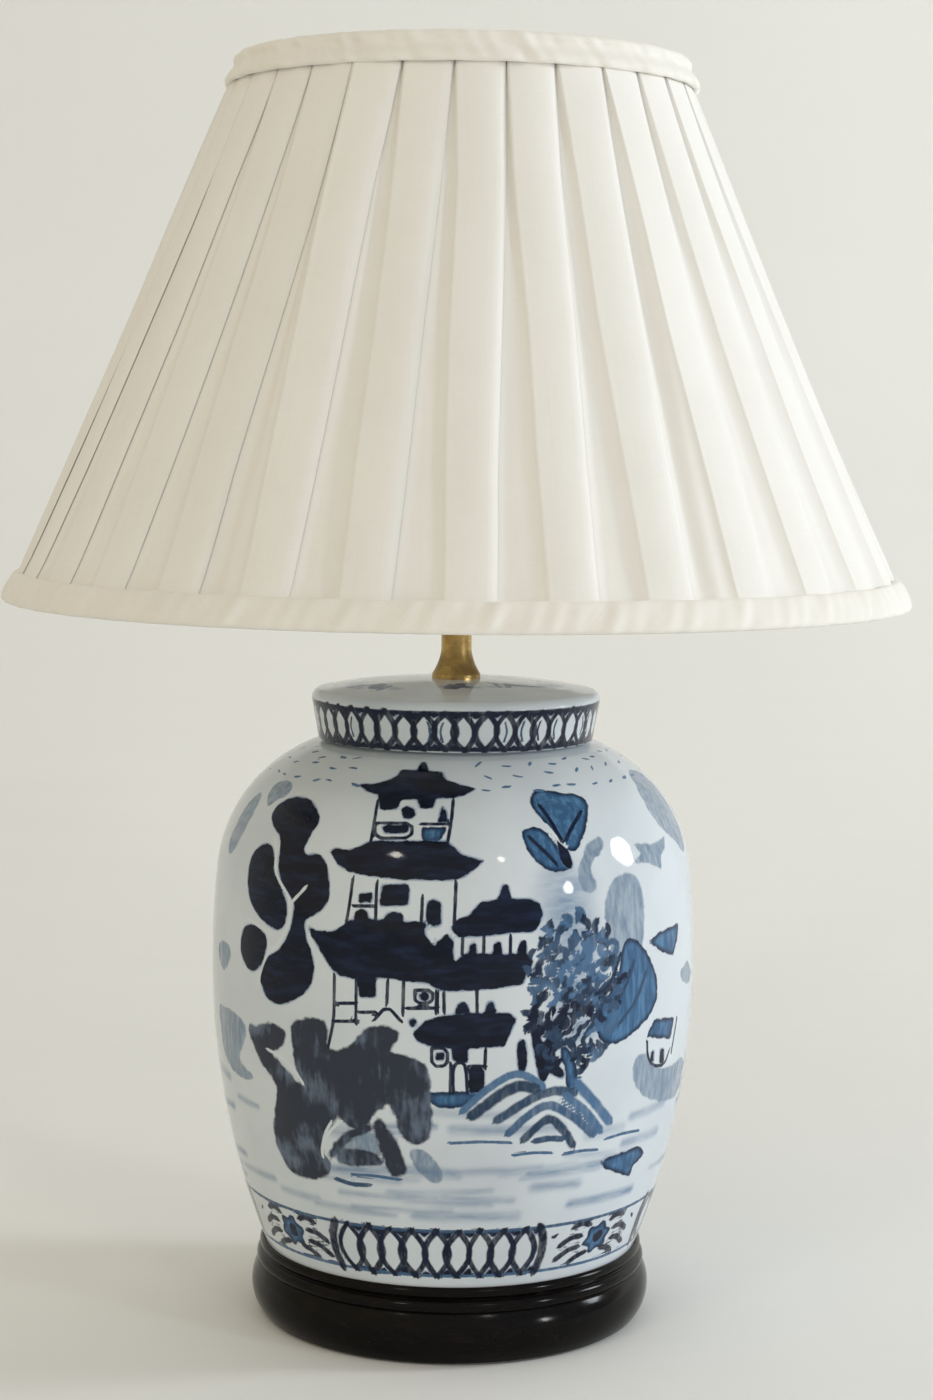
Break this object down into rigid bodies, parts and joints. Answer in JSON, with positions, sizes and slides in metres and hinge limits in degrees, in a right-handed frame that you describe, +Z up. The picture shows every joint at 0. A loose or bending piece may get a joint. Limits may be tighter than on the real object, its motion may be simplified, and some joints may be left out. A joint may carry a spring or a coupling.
{
  "type": "ginger jar table lamp",
  "caption": "Table lamp: blue and white glazed ginger jar with lid on a turned black wooden stand, brass neck and bayonet lampholder, and a box-pleated cloth shade on a tilting gimbal.",
  "frame": {"origin": "middle of the felt under the stand, on the surface that the lamp stands on", "axes": "+Z up along the lamp's axis; -Y towards the side with the pagoda painting; +Y towards the cord inlet"},
  "size_m": [0.4571, 0.4572, 0.6364],
  "materials": {
    "black_wood": "high gloss black lacquer over turned wood",
    "felt": "matte felt",
    "black_plastic": "moulded",
    "steel": "zinc plated",
    "cork": "cork",
    "painted_glaze": "white glaze with cobalt brushwork, glossy",
    "aged_brass": "aged, satin",
    "rubber": "matte",
    "holder_brass": "polished, lacquered",
    "moulded_insulator": "moulded",
    "carrier_metal": "satin",
    "gimbal_metal": "white coating",
    "frame_wire": "white coating",
    "bulb_glass": "clear",
    "bulb_metal": "pressed",
    "filament": "phosphor coated",
    "lining_cloth": "plain weave",
    "pleated_cloth": "ivory slub weave, box pleated",
    "binding_cloth": "ivory bias binding"
  },
  "bodies": {
    "base": {"base_felt": "felt", "bottom_nut": "steel", "bottom_washer": "steel", "brass_neck": "aged_brass", "bulb_cap": "bulb_metal", "bulb_filaments": "filament", "bulb_glass": "bulb_glass", "bulb_insulator": "black_plastic", "bulb_stem": "bulb_glass", "carrier_arms": "carrier_metal", "carrier_base_ring": "carrier_metal", "carrier_boss": "carrier_metal", "carrier_nut": "carrier_metal", "contact_plungers": "holder_brass", "cord_grommet": "black_plastic", "cork_pad": "cork", "jar_body": "painted_glaze", "jar_lid": "painted_glaze", "lampholder_cap": "holder_brass", "lampholder_insert": "moulded_insulator", "lampholder_shell": "holder_brass", "neck_gasket": "rubber", "switch_block": "moulded_insulator", "terminal_screws": "steel", "threaded_tube": "steel", "wooden_stand": "black_wood", "shade_ring": "moulded_insulator"},
    "switch": {"switch_bar": "holder_brass"},
    "gimbal": {"gimbal_inner_ring": "gimbal_metal", "gimbal_pins": "gimbal_metal"},
    "shade": {"gimbal_spider": "gimbal_metal", "shade_bottom_ring": "frame_wire", "shade_top_ring": "frame_wire", "shade_struts": "frame_wire", "shade_lining": "lining_cloth", "shade_pleats": "pleated_cloth", "bottom_trim": "binding_cloth", "top_trim": "binding_cloth"}
  },
  "joints": [
    {"name": "switch_push", "type": "slide", "parent": "base", "child": "switch", "axis": [1, 0, 0], "range_m": [0, 0.005]},
    {"name": "shade_spin", "type": "hinge", "parent": "base", "child": "gimbal", "pos_m": [0, 0, 0.602], "axis": [0, 0, 1], "continuous": true},
    {"name": "shade_tilt", "type": "hinge", "parent": "gimbal", "child": "shade", "pos_m": [0, 0, 0.602], "axis": [1, 0, 0], "range_deg": [-15, 15]}
  ]
}
